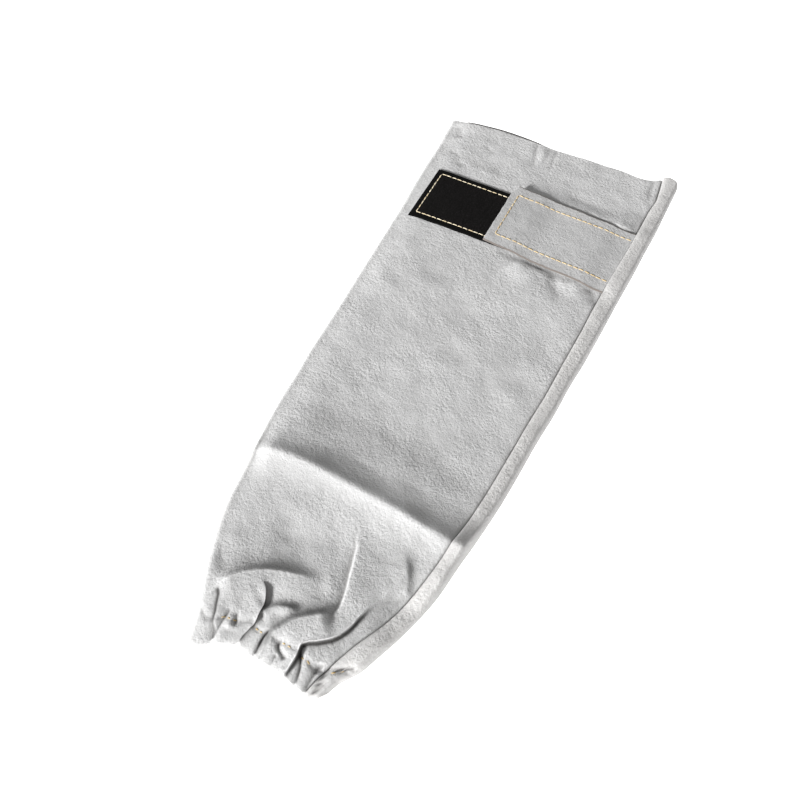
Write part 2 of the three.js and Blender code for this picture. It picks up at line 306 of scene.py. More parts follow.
# Folds, each a line of (across, along) places
FOLDS = [
    # The cross fold above the cuff
    Fold([(-72, 320.8), (-66, 320.5), (-45, 317.5), (-23, 317.4), (1, 318.6), (25, 320.3), (49, 322.9),
          (68, 324.4), (84, 326)],
         6.8, 8.8, 0, 13, 12.5, ends=(0.12, 0.05), peak=1.0, soft=2.2, bulge=1.0),
    # The pleat at the left of the cuff: its far, left and right edges
    Fold([(-38.6, 400), (-33.8, 394.6), (-30.1, 390.5), (-24.3, 385.6), (-18.4, 381.9), (-12, 379.1),
          (-5.7, 377.1), (4.9, 374.1), (14, 373.5)],
         2.0, 14, 5.8, 13, 5.6, lip=0.4, ends=(0.13, 0.4), soft=0.3, dark=0.35, dark_at=2.2, dark_width=2.4),
    Fold([(-24.1, 425), (-25.4, 420), (-28.5, 416.2), (-29.7, 412), (-31.4, 408), (-32.4, 405.4),
          (-33.5, 402.9), (-35.5, 400.8), (-38.1, 399.6)],
         0.8, 5, 1.8, 3, 1.0, ends=(0, 0.12), dark=1.2, dark_at=1.0, dark_width=1.1),
    Fold([(-19.3, 387.2), (-16.3, 388.5), (-14.1, 390.5), (-12.5, 393.4), (-11.3, 396.5), (-10.8, 399.3),
          (-10.8, 402.3), (-10.3, 408.1), (-11.2, 411.5), (-12.7, 415.9), (-12.6, 425)],
         1.0, 5, 2.2, 8, 1.2, lip=0.2, lap=1.2, ends=(0.2, 0), soft=0.3, dark=0.8, dark_at=0.6,
         dark_width=0.8),
    # Small arch beside it, with its creases
    Fold([(-9.8, 403), (-7.8, 400.2), (-5.7, 397.6), (-2.7, 395.5), (0.8, 394.3), (4.3, 394), (9, 395.2)],
         1.2, 4, 3.4, 6, 2.8, ends=(0.15, 0.3), soft=0.5, dark=0.6, dark_at=1.9, dark_width=2.2),
    crease([(-0.7, 406.8), (-1.5, 409.5), (-1.9, 412.7), (-1.7, 415.5), (-1.3, 425)], 2.0, 0.9, dark=0.8),
    # Lower edge of the middle fold, running down to the rim
    Fold([(1.4, 425), (2.6, 416.2), (3.4, 413.5), (2.9, 410.8), (3.3, 407.4), (4.9, 405.1), (6.4, 402.6),
          (8.5, 399.1), (11.7, 396.3), (15.8, 393), (20.1, 389.9), (25, 386.6)],
         3.2, 9, 6.4, 12, 6.5, lip=0.4, ends=(0, 0.15), soft=0.3, dark=0.7, dark_at=2.6, dark_width=2.6),
    # Long edge that comes down from the cross fold
    Fold([(24.6, 389), (25.8, 383.1), (25.3, 378.4), (24.4, 373.4), (22.9, 367.9), (21.4, 363),
          (19.8, 356.8), (18.3, 351.7), (17.1, 347.1), (14.2, 341.3), (10.5, 332)],
         1.0, 12, 2.2, 8, 0.6, ends=(0.25, 0.6), soft=0.3),
    # Flap beside the seam: soft where it starts, lapping over at the cuff and turning down to the rim
    Fold([(43, 341), (46, 346), (46, 352), (45.2, 358), (42, 366), (38.6, 374.5), (36.4, 381), (34.4, 388)],
         1.4, 10, 3.2, 10, 5.0, ends=(0.5, 0.4), soft=0.5),
    Fold([(42, 366), (38.6, 374.5), (36.4, 381), (34.4, 388), (29.8, 396), (23.8, 401.6), (19.2, 404.8),
          (17.2, 407), (17.0, 409.6), (17.4, 413.3), (16.9, 419.3), (15.8, 428)],
         1.8, 9, 3.0, 4.0, 0.8, lip=0.9, lap=1.2, ends=(0.4, 0), bulge=1.0, dark=1.4, dark_at=1.2,
         dark_width=0.9),
    Fold([(37, 335), (41, 339), (45.5, 345), (49.2, 351.5), (51.7, 357.7), (54, 361)],
         1.5, 9, 1.2, 7, 2.2, ends=(0.6, 0.15), soft=0.4),
    # Creases between the gathers
    crease([(16.9, 407), (18.9, 410.8), (21.4, 415.3), (22.5, 418.7), (23.6, 428)], 1.6, 0.9, dark=0.6),
    crease([(30.5, 410), (29.6, 413.9), (29.2, 418.1), (28.7, 428)], 1.6, 0.8, dark=0.6),
    crease([(36.5, 407.5), (34.1, 412.5), (33.6, 415.8), (34.3, 420), (33.1, 428)], 2.4, 1.0, dark=0.8),
    crease([(36.2, 410.3), (41.5, 407.2), (47, 404.5), (52, 402)], 1.8, 1.4, ends=(0.2, 0.4), dark=0.7),
    crease([(7.9, 409), (7.8, 413), (10.6, 415.6), (14.5, 417.6)], 2.2, 1.6, ends=(0.3, 0.2), dark=0.4),
    crease([(8.6, 416), (8.9, 420), (8.6, 428)], 1.2, 1.0),
    crease([(-24.3, 406), (-24.8, 412.5), (-24.9, 425)], 1.3, 1.1, dark=0.3),
    crease([(-20.6, 405.5), (-19.3, 410.3), (-17.6, 415)], 1.2, 1.3, ends=(0.4, 0.3)),
    ridge([(-22.6, 409), (-21.1, 413), (-20.5, 418)], 1.2, 1.8),
    crease([(29.6, 409.5), (30.6, 411.6), (32.5, 413.5)], 2.0, 2.0, ends=(0.3, 0.3)),
    # Shallow hollow in the middle of the cuff
    ridge([(-34, 360), (-15, 356), (6, 349), (16, 343)], -1.6, 9.0),
    # Wrinkles beside the patch, at the opening
    ridge([(-74.2, 40.8), (-65.3, 45.1), (-57.1, 53.4), (-51.8, 55.6)], -0.7, 2.0),
    ridge([(-70, 44), (-62, 48.4), (-55.5, 52.3)], 0.4, 1.5),
    ridge([(-54.3, 44.5), (-47.1, 47.1), (-38.5, 51.3)], -0.4, 1.6),
    ridge([(-46.7, 48.1), (-38.7, 52.6), (-31.9, 56.4)], 0.35, 1.6),
    ridge([(-37.7, 43.5), (-31.6, 47.8), (-24.4, 52.6)], -0.35, 1.6),
    ridge([(-52, 24), (-45.4, 29.9), (-39.2, 33)], -0.5, 2.0),
    ridge([(-16.9, 8), (-15.5, 14.9), (-13.2, 23.6), (-13.4, 36)], -0.6, 1.5, ends=(0.0, 0.6)),
    ridge([(-11.5, 8), (-10.4, 16), (-9.2, 28)], 0.35, 1.5, ends=(0.0, 0.6)),
    ridge([(-7.0, 8), (-6.2, 16), (-5.2, 30)], -0.4, 1.2, ends=(0.0, 0.6)),
    ridge([(-2, 8), (-1.5, 14), (-0.4, 22), (0.6, 36)], -0.55, 1.4, ends=(0.0, 0.6)),
    ridge([(-77.9, 12), (-74, 20), (-69, 28)], -0.9, 3.4),
    # Waves under the strap's lower edge
    ridge([(36, 116), (41.6, 125.1), (46.4, 132.8), (52, 143)], -1.7, 4.5, ends=(0.2, 0.5)),
    ridge([(10, 122), (22, 128), (33, 131)], 1.3, 7.0, ends=(0.2, 0.4)),
    ridge([(52, 118), (56, 125), (60, 134)], 0.9, 4.5, ends=(0.2, 0.4)),
    ridge([(63, 117), (67, 121.5), (70, 126), (72, 133)], -1.7, 3.6, ends=(0.2, 0.4)),
    # Rise that meets the strap's upper edge, the shallow hollow before it, and the gaps at the strap's edges
    ridge([(-20, 56.4), (15, 57.4), (45, 58.6), (74, 60)], 1.5, 7.0, ends=(0.25, 0.05)),
    ridge([(14, 47.5), (45, 49.5), (66, 52)], -0.8, 6.0),
    crease([(-9, 58.6), (10, 59.3), (40, 60.6), (70, 61.8), (76, 62.0)],
           0.6, 0.9, ends=(0.1, 0.02), dark=0.8),
    crease([(-2, 117.2), (0, 117.4), (20, 118.2), (40, 119.1), (60, 119.9), (75, 120.6)],
           1.6, 0.9, ends=(0.06, 0.0), dark=0.5),
    # Dip beside the band at the opening
    crease([(71, 4), (71.5, 14), (73.5, 26)], 0.7, 1.4, ends=(0.0, 0.3)),
]


def over_cuff(start, end, along):
    """A number that runs from start to end over the cuff."""
    return start + (end - start) * smooth_step(along, CUFF_FROM, LENGTH)


def fold_radius(along):
    return over_cuff(FOLD_RADIUS, FOLD_RADIUS_WRIST, along)


def roll_radius(along):
    return over_cuff(ROLL_RADIUS, ROLL_RADIUS_WRIST, along)


def folded_edge(along):
    return read_table(OUTLINE, 1, along) + 0.35 * soft_noise(0 * along, along, 22, 5)


def seam_line(along):
    return read_table(OUTLINE, 2, along) + 0.25 * soft_noise(0 * along, along, 26, 6)


def rolled_edge(along):
    return read_table(OUTLINE, 3, along) + 0.35 * soft_noise(0 * along, along, 24, 7)


def support_height(across, along):
    """The height that the strap and the tapes rest on: the front leather without folds and short waves."""
    height = read_table(HEIGHTS, 1, along)
    from_edge = np.maximum(across - folded_edge(along), 0)
    height = height - EDGE_DROP * np.exp(-((from_edge / EDGE_REACH) ** 2))
    return height + SWELL * smooth_step(along, 10, 60) * soft_noise(across, along, 34, 1)


def plain_height(across, along):
    """Height of the front leather without folds."""
    height = support_height(across, along)
    # The leather lies less flat where the strap and the patch don't hold it
    loose = 1 - smooth_step(along, 40, 54) + smooth_step(along, 122, 140)
    waves = 0.5 * soft_noise(across, along, 25, 21) + 0.16 * soft_noise(across, along, 11, 22)
    height = height + loose * waves
    return height + 0.22 * soft_noise(across, along, 13, 2) + 0.06 * soft_noise(across, along, 4.5, 3)


def panel_height(across, along):
    """Height of the front leather with its folds."""
    across, along = np.broadcast_arrays(np.asarray(across, float), np.asarray(along, float))
    height = plain_height(across, along)
    flatter = 1 - 0.35 * smooth_step(along, 408, LENGTH)
    place = along + shift_along(across, along, 0)
    for fold in FOLDS:
        height = height + flatter * fold.heights(across, place)
    sunk = SIDE_DROP * smooth_step(across - seam_line(along), -17, -1) * smooth_step(along, 340, 370)
    gathered = smooth_step(along, LENGTH - 34, LENGTH - 6)
    height = height - sunk + GATHER * gathered * soft_noise(across, along / 6, 4.2, 4)
    stitched = HEM_SEAM_DEPTH * np.exp(-(((along - HEM_SEAM) / HEM_SEAM_REACH) ** 2))
    height = height - stitched
    # The gathers stay above the leather at the back
    least = LEAST_HEIGHT - LEAST_HEIGHT_FALL * (1 - smooth_step(along, 380, 402))
    return least + LEAST_HEIGHT_SOFT * np.logaddexp(0, (height - least) / LEAST_HEIGHT_SOFT)


def top_height(across, along):
    """Height of the outer leather: the panel, the groove at the seam and the raised band beside it."""
    across, along = np.broadcast_arrays(np.asarray(across, float), np.asarray(along, float))
    beside = across - seam_line(along)
    deeper = 1 + 0.6 * smooth_step(along, 340, 385)
    groove = GROOVE_DEPTH * deeper * np.exp(-np.abs(beside) / GROOVE_REACH)
    raised = over_cuff(BAND_RISE, BAND_RISE_WRIST, along)
    strap_bottom = STRAP_TOP + STRAP_WIDTH + STRAP_SLANT
    raised = raised + STRAP_LIFT * smooth_step(along, STRAP_TOP - 6, STRAP_TOP + 4) * (
        1 - smooth_step(along, strap_bottom - 4, strap_bottom + 8))
    fallen = BAND_FALL * smooth_step(beside, 2, 9)
    return panel_height(across, along) - groove - fallen + raised * smooth_step(beside, 0.0, BAND_WALL)


def shift_along(across, along, under):
    """How far the cut edge and the rim stand off from straight. Under is 0 in front and 1 at the back."""
    front = read_table(OPENING_EDGE, 1, across) * (1 - under) + read_table(BACK_EDGE, 1, across) * under
    rim = read_table(RIM_EDGE, 1, np.clip(across, -40, 42)) - LENGTH - BACK_RIM_TUCK * under
    for place, depth, half in RIM_NOTCHES:
        rim = rim - depth * np.exp(-(((across - place) / half) ** 2)) * (1 - under)
    near_rim = smooth_step(along, LENGTH - 55, LENGTH)
    return front * (1 - smooth_step(along, 0, 45)) + rim * near_rim ** 1.5


def to_frame(across, along, height):
    """Points of the sleeve as metres in the frame."""
    return np.stack([(across + CENTRE_X) * MM, (OPENING_Y - along) * MM, height * MM], -1)


# Columns of the leather's grid, round the tube
PANEL_SHARES = np.linspace(0, 1, 147)[:-1]
SEAM_STEPS = np.array([
    -5.0, -3.9, -3.0, -2.3, -1.7, -1.2, -0.8, -0.45, -0.15, 0.08, 0.2, 0.32, 0.45, 0.6, 0.9, 1.5,
])
STEPS_BEFORE_SEAM = 9
BAND_SHARES = np.linspace(0, 1, 5)[1:]
ROLL_TURNS = np.linspace(0, math.pi, 13)[1:]
BACK_SHARES = np.linspace(0, 1, 25)[1:]
FOLD_TURNS = np.linspace(0, math.pi, 13)[1:-1]

# Rows, by the distance from the opening: at the cut edge, beside the strap, over the middle and at the cuff
EDGE_ROWS = np.array([0.0, 0.35, 0.9])
TOP_ROWS = np.linspace(2.2, 62, 41)[:-1]
MIDDLE_ROWS = np.linspace(62, 300, 85)[:-1]
CUFF_ROWS = np.linspace(300, LENGTH - 2.2, 180)
OUTER_ROWS = np.concatenate([EDGE_ROWS, TOP_ROWS, MIDDLE_ROWS, CUFF_ROWS])
RIM_TURNS = np.linspace(0, math.pi, 8)[1:-1]
HEM_ROWS = np.linspace(LENGTH - 2.2, LENGTH - HEM_DEPTH, 11)

# How the finish reads bends and hollows, which it paints lighter as wear and a painted highlight and darker as
# painted shade: in millimetres, a share, rows and columns
FULLY_BENT = 0.5
FULLY_DEEP = 1.2
MIDDLE_BENT_SHARE = 0.4
ROWS_WITHOUT_HOLLOWS = 8
ROWS_OF_FAINT_HOLLOWS = 120
COLUMNS_WITHOUT_HOLLOWS = 6


def outer_turn(along):
    """The outer leather in front, in rows: across, height and where both side turns start."""
    a = along[:, None]
    left = folded_edge(a) + fold_radius(a)
    seam = seam_line(a)
    right = rolled_edge(a) - roll_radius(a)
    panel = left + (seam + SEAM_STEPS[0] - left) * PANEL_SHARES
    beside = seam + SEAM_STEPS
    band = beside[:, -1:] + (right - beside[:, -1:]) * BAND_SHARES
    front = np.concatenate([panel, beside, band], 1)
    along_front = np.broadcast_to(a, front.shape)
    height = top_height(front.ravel(), along_front.ravel()).reshape(front.shape)
    return front, height, left, right


def tube_turn(along, front, height, left, right, depth):
    """Whole turns of the tube at a depth below the outer leather: across, height and how far round."""
    a = along[:, None]
    back_x = right + (left - right) * BACK_SHARES
    gathered = smooth_step(a, LENGTH - 2.2 * HEM_DEPTH, LENGTH)
    back_z = depth + gathered * BACK_GATHER * (1 + soft_noise(back_x, 0 * a, 6.5, 8))

    def turned(middle, radius, way, turns, top, base):
        across = middle + way * (radius - depth) * np.sin(turns)
        centre = (top + base) / 2
        return across, centre + (top - depth - centre) * np.cos(turns)

    roll_x, roll_z = turned(right, roll_radius(a), 1, ROLL_TURNS, height[:, -1:], depth * 2)
    fold_x, fold_z = turned(left, fold_radius(a), -1, FOLD_TURNS[::-1], height[:, :1], depth * 2)
    across = np.concatenate([front, roll_x, back_x, fold_x], 1)
    tall = np.concatenate([height - depth, roll_z, back_z, fold_z], 1)
    under = np.concatenate([
        np.zeros_like(front),
        smooth_step(np.broadcast_to(ROLL_TURNS, roll_x.shape), 0.2, math.pi),
        np.ones_like(back_x),
        smooth_step(np.broadcast_to(FOLD_TURNS[::-1], fold_x.shape), 0.2, math.pi),
    ], 1)
    return across, tall, under


def lowest_near(height, rows, columns):
    """The lowest value within that many rows and columns."""
    padded = np.pad(height, ((rows, rows), (columns, columns)), mode="edge")
    windows = np.lib.stride_tricks.sliding_window_view(padded, (2 * rows + 1, 2 * columns + 1))
    return windows.min((2, 3))


def placed(along, turn, extra=0.0):
    """Frame points of turns of the tube."""
    across, tall, under = turn
    a = np.broadcast_to(along[:, None], across.shape)
    return to_frame(across, a + shift_along(across, a, under) + extra, tall)


def closed_grid(points):
    """Quads of a grid whose columns join round, and whose last row joins the first."""
    rows, columns = points.shape[:2]
    row = np.arange(rows)[:, None] * columns
    column = np.arange(columns)[None]
    next_row = (row + columns) % (rows * columns)
    next_column = (column + 1) % columns
    corners = [row + column, row + next_column, next_row + next_column, next_row + column]
    return np.stack(corners, -1).reshape(-1, 4)


def new_object(name, data):
    """An object in the scene."""
    made = bpy.data.objects.new(name, data)
    bpy.context.scene.collection.objects.link(made)
    return made


def smooth_piece(name, points, faces):
    """A smooth mesh object from points in metres."""
    mesh = bpy.data.meshes.new(name)
    mesh.from_pydata(points, [], faces)
    mesh.validate()
    mesh.shade_smooth()
    piece = new_object(name, mesh)
    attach(piece, "root")
    return piece


def make_piece(name, points, quads, sharp=50):
    """A mesh object from arrays of points and quads, with edges above that angle left sharp."""
    piece = smooth_piece(name, points.reshape(-1, 3).tolist(), quads.tolist())
    piece.data.set_sharp_from_angle(angle=math.radians(sharp))
    return piece


def add_attribute(piece, name, values):
    """One number for each vertex, which the finish reads."""
    attribute = piece.data.attributes.new(name, "FLOAT", "POINT")
    attribute.data.foreach_set("value", np.ascontiguousarray(values, np.float32).ravel())


front, height, left, right = outer_turn(OUTER_ROWS)
lowest = lowest_near(height, 5, 2)


def inner(rows, depth):
    """Turns of the tube under the outer leather, at the rows nearest to those asked for."""
    i = np.searchsorted(OUTER_ROWS, rows).clip(0, len(OUTER_ROWS) - 1)
    rows = OUTER_ROWS[i]
    return placed(rows, tube_turn(rows, front[i], lowest[i], left[i], right[i], depth))


def mark_front(piece, points, **shares):
    """Attributes of the sleeve, given for the outer leather in front and 0 everywhere else."""
    for name, values in shares.items():
        spread = np.zeros(points.shape[:2])
        spread[:len(OUTER_ROWS), :front.shape[1]] = np.clip(values, 0, 1)
        add_attribute(piece, name, spread)


def make_sleeve():
    """The leather tube with its turned hem, as one closed grid."""
    outer = placed(OUTER_ROWS, tube_turn(OUTER_ROWS, front, height, left, right, 0.0))
    slid = np.zeros(front.shape + (2,))
    along_front = np.broadcast_to(OUTER_ROWS[:, None], front.shape)
    place = (along_front + shift_along(front, along_front, 0)).ravel()
    for fold in FOLDS:
        slid += fold.slide(front.ravel(), place).reshape(slid.shape)
    outer[:, :front.shape[1], 0] += slid[..., 0] * MM
    outer[:, :front.shape[1], 1] -= slid[..., 1] * MM
    layers = [outer]
    # Round the rim
    last = OUTER_ROWS[-1:]
    half = HEM_THICKNESS / 2
    for turn in RIM_TURNS:
        depth = half * (1 - math.cos(turn))
        ring = tube_turn(last, front[-1:], height[-1:], left[-1:], right[-1:], depth)
        layers.append(placed(last, ring, half * math.sin(turn)))
    # Up inside the hem, down in its pocket and up the inside to the opening
    layers.append(inner(HEM_ROWS, HEM_THICKNESS))
    layers.append(inner(HEM_ROWS[::-1], HEM_THICKNESS - LEATHER))
    layers.append(inner(HEM_ROWS, LEATHER))
    inside = np.concatenate([np.linspace(LENGTH - HEM_DEPTH - 1.5, 300, 14), np.linspace(290, 3, 24), [0.9]])
    layers.append(inner(inside, LEATHER))
    edge_turn = tube_turn(OUTER_ROWS[:1], front[:1], height[:1], left[:1], right[:1], LEATHER)
    layers.append(placed(OUTER_ROWS[:1], edge_turn))
    points = np.concatenate(layers)
    piece = make_piece("sleeve_leather", points, closed_grid(points)[:, ::-1], 60)
    # Where the leather is bent out or in, from how far each point stands off from its neighbours; the finish
    # paints bent-out places lighter, as wear and a painted highlight, and bent-in places darker, as painted
    # shade
    tall = np.pad(points[..., 2], ((2, 2), (2, 2)), mode="edge")
    around = (tall[:-4, 2:-2] + tall[4:, 2:-2] + tall[2:-2, :-4] + tall[2:-2, 4:]) / 4
    bent = (points[..., 2] - around) / MM
    bent = bent[:len(OUTER_ROWS), :front.shape[1]]
    middle = len(EDGE_ROWS) + len(TOP_ROWS)
    bent[middle:middle + len(MIDDLE_ROWS)] *= MIDDLE_BENT_SHARE
    bent[:len(EDGE_ROWS)] = 0
    mark_front(piece, points, bent_out=bent / FULLY_BENT, bent_in=-bent / FULLY_BENT)
    # Broad hollows and crests, from how far each point lies below or above the mean around it: the finish
    # paints hollows darker as painted shade and crests lighter as wear and a painted highlight
    wide = np.pad(points[..., 2], ((6, 6), (6, 6)), mode="edge")
    wide = np.lib.stride_tricks.sliding_window_view(wide, (13, 13)).mean((2, 3))
    deep = ((wide - points[..., 2]) / MM)[:len(OUTER_ROWS), :front.shape[1]]
    deep[:ROWS_WITHOUT_HOLLOWS] = 0
    deep[:ROWS_OF_FAINT_HOLLOWS] *= 0.5
    deep[:, len(PANEL_SHARES) - COLUMNS_WITHOUT_HOLLOWS:] = 0
    mark_front(piece, points, hollow=deep / FULLY_DEEP, crest=-deep / FULLY_DEEP)
    # Painted shade in the folds' crevices, the deepest almost black
    crevice = sum(fold.shade(front.ravel(), place).reshape(front.shape) for fold in FOLDS)
    mark_front(piece, points, crevice=crevice)
    # The cut edges at the opening are painted dark brown: partly their own colour, partly a painted shadow
    # line along them
    cut = np.zeros(points.shape[:2])
    cut[0] = 1
    cut[-1] = 1
    add_attribute(piece, "cut_edge_and_shadow", cut)
    beside = front - seam_line(along_front)
    share = 0.4 + 0.6 * smooth_step(along_front, 300, 380)
    mark_front(piece, points, seam=share * np.exp(-((beside / 0.5) ** 2)))
    band = np.zeros(points.shape[:2])
    band[:, len(PANEL_SHARES) + STEPS_BEFORE_SEAM:front.shape[1] + len(ROLL_TURNS)] = 1
    add_attribute(piece, "band", band)
    return piece


def make_elastic():
    """The elastic band in the pocket of the hem."""
    rows = HEM_ROWS[1:-1]
    near = LEATHER + POCKET_PLAY
    points = np.concatenate([inner(rows, near), inner(rows[::-1], near + ELASTIC)])
    return make_piece("cuff_elastic_band", points, closed_grid(points))


def edge_spaced(length, step, fine=(0, 0.12, 0.3, 0.55, 1.0)):
    """Places from 0 to length, close together near both ends."""
    fine = np.array(fine)
    middle = np.linspace(fine[-1], length - fine[-1], max(int(length / step), 2))
    return np.concatenate([fine[:-1], middle, (length - fine[:-1])[::-1]])


def rounded_off(distance, radius):
    """How far a cut edge has dropped at a distance in from it."""
    inward = np.clip(distance / radius, 0, 1)
    return radius * (1 - np.sqrt(1 - (1 - inward) ** 2))


# How near a plate's long sides its cut edge shows, and how much wider it shows at the upper one: the dark
# brown there is partly the cut edge's own colour and partly a painted shadow line along the edge
CUT_SIDE = 0.4
UPPER_SIDE_SHARE = 0.55


def make_plate(name, across, along, top, base, edge_radius):
    """A closed piece between two surfaces over the same grid of places, its upper edges rounded off."""
    rows, columns = across.shape
    steps_across = np.hypot(across - across[:, :1], along - along[:, :1])
    steps_along = np.abs(along - along[:1])
    from_edge = np.minimum.reduce([
        steps_across, steps_across.max(1, keepdims=True) - steps_across,
        steps_along, steps_along.max(0, keepdims=True) - steps_along,
    ])
    at_side = np.minimum(steps_along * UPPER_SIDE_SHARE, steps_along.max(0, keepdims=True) - steps_along)
    top = top - rounded_off(from_edge, edge_radius)
    base = base + rounded_off(from_edge, edge_radius * 0.6)
    points = np.concatenate([to_frame(across, along, top).reshape(-1, 3),
                             to_frame(across, along, base).reshape(-1, 3)])
    at = np.arange(rows * columns).reshape(rows, columns)
    under = at + rows * columns

    def quads(a, b, c, d):
        return np.stack([a.ravel(), b.ravel(), c.ravel(), d.ravel()], 1)

    faces = [
        quads(at[:-1, :-1], at[1:, :-1], at[1:, 1:], at[:-1, 1:]),
        quads(under[:-1, :-1], under[:-1, 1:], under[1:, 1:], under[1:, :-1]),
        quads(at[:-1, 0], under[:-1, 0], under[1:, 0], at[1:, 0]),
        quads(at[1:, -1], under[1:, -1], under[:-1, -1], at[:-1, -1]),
        quads(at[0, 1:], under[0, 1:], under[0, :-1], at[0, :-1]),
        quads(at[-1, :-1], under[-1, :-1], under[-1, 1:], at[-1, 1:]),
    ]
    piece = make_piece(name, points, np.concatenate(faces), 55)
    add_attribute(piece, "cut_edge_and_shadow", np.tile((at_side < CUT_SIDE).astype(float).ravel(), 2))
    add_attribute(piece, "from_edge", np.tile(from_edge.ravel(), 2))
    return piece


def strap_base(across, along):
    """The underside of the strap, over the patch and the tape and down to the seam."""
    over_patch = 1 - smooth_step(across, EASE_FROM, EASE_TO)
    over_tape = 1 - smooth_step(across, 55, 68)
    for_tape = TAPE_THICKNESS + LAYER_GAP + SUPPORT_EASE
    lifted = (PATCH_THICKNESS + LAYER_GAP) * over_patch + for_tape * over_tape
    return support_height(across, along) + LAYER_GAP + lifted


def strap_top(across, along):
    """The upper face of the strap, with the waves of a stiff piece of leather."""
    wave = 0.35 * soft_noise(across, along, 24, 11) + 0.1 * soft_noise(across, along, 7, 12)
    free = 0.5 * np.exp(-((across - STRAP_END) / 7) ** 2)
    mark = 0.28 * np.exp(-((across - 4.6) / 0.5) ** 2) * smooth_step(along, 104, 108)
    return strap_base(across, along) + LEATHER + wave + free - mark


def strap_along(across, share):
    """Where a line at that share of the strap's width runs, as it slants down to the seam."""
    slant = STRAP_SLANT * (across - STRAP_END) / STRAP_RUN
    return STRAP_TOP + STRAP_WIDTH * share + slant


def make_strap():
    shares = edge_spaced(STRAP_WIDTH, 1.0) / STRAP_WIDTH
    steps = edge_spaced(STRAP_RUN, 1.0) / STRAP_RUN
    top_edge = STRAP_WIDTH * shares[:, None]
    chamfer = STRAP_CHAMFER[0] * np.clip(1 - top_edge / STRAP_CHAMFER[1], 0, 1)
    ragged = 0.22 * edge_noise(top_edge, 5, 13) + 0.1 * edge_noise(top_edge, 1.9, 14)
    start = STRAP_END + chamfer + ragged
    end = seam_line(strap_along(75, shares[:, None])) + 0.35
    across = start + (end - start) * steps[None]
    along = strap_along(across, shares[:, None])
    at_edge = np.abs(2 * shares[:, None] - 1) ** 6 * np.sign(shares[:, None] - 0.5)
    along = along + at_edge * (0.3 * edge_noise(across, 9, 15) + 0.14 * edge_noise(across, 2.2, 16))
    top = strap_top(across, along)
    return make_plate("strap_leather", across, along, top, top - LEATHER, 0.35)


def patch_top(across, along):
    """The upper face of the patch: a raised pile inside a flat selvage."""
    inside = np.minimum.reduce([
        across - PATCH_START, PATCH_START + PATCH_LENGTH - across,
        along - PATCH_TOP, PATCH_TOP + PATCH_WIDTH - along,
    ])
    pile = PILE_RISE * smooth_step(inside, PATCH_SELVAGE - 0.4, PATCH_SELVAGE + 0.8)
    waves = 0.12 * soft_noise(across, along, 9, 17)
    return support_height(across, along) + PATCH_THICKNESS - PILE_RISE + pile + waves


def make_patch():
    across = PATCH_START + edge_spaced(PATCH_LENGTH, 0.8)[None]
    along = PATCH_TOP + edge_spaced(PATCH_WIDTH, 0.8)[:, None]
    across, along = np.broadcast_arrays(across, along)
    edge = np.abs(2 * (along - PATCH_TOP) / PATCH_WIDTH - 1) ** 8 * np.sign(along - PATCH_TOP - 25)
    along = along + 0.12 * edge * edge_noise(across, 5, 18)
    top = patch_top(across, along)
    base = np.minimum(panel_height(across, along), top - PATCH_LEAST)
    return make_plate("patch_pile", across, along, top, base, 0.4)


def make_tape():
    shares = edge_spaced(STRAP_WIDTH - 2 * TAPE_MARGIN, 3.0) / STRAP_WIDTH + TAPE_MARGIN / STRAP_WIDTH
    steps = edge_spaced(1.0, 1 / 26, (0, 0.004, 0.01))
    start = STRAP_END + TAPE_MARGIN
    end = seam_line(strap_along(70, shares[:, None])) - TAPE_FROM_ROOT
    across = start + (end - start) * steps[None]
    along = strap_along(across, shares[:, None])
    top = strap_top(across, along) - LEATHER - LAYER_GAP / 2
    return make_plate("tape_hooks", across, along, top, top - TAPE_THICKNESS, 0.3)


# Sections of a stitch, from end to end: place, fullness and how far it stands up
STITCH_SECTIONS = [
    (0.0, 0.35, -0.5), (0.09, 0.8, 0.1), (0.28, 1.0, 0.5), (0.72, 1.0, 0.5), (0.91, 0.8, 0.1),
    (1.0, 0.35, -0.5),
]


def along_line(line, steps, at):
    """The place at a distance along a line whose points lie at those steps."""
    return np.array([np.interp(at, steps, line[:, 0]), np.interp(at, steps, line[:, 1])])


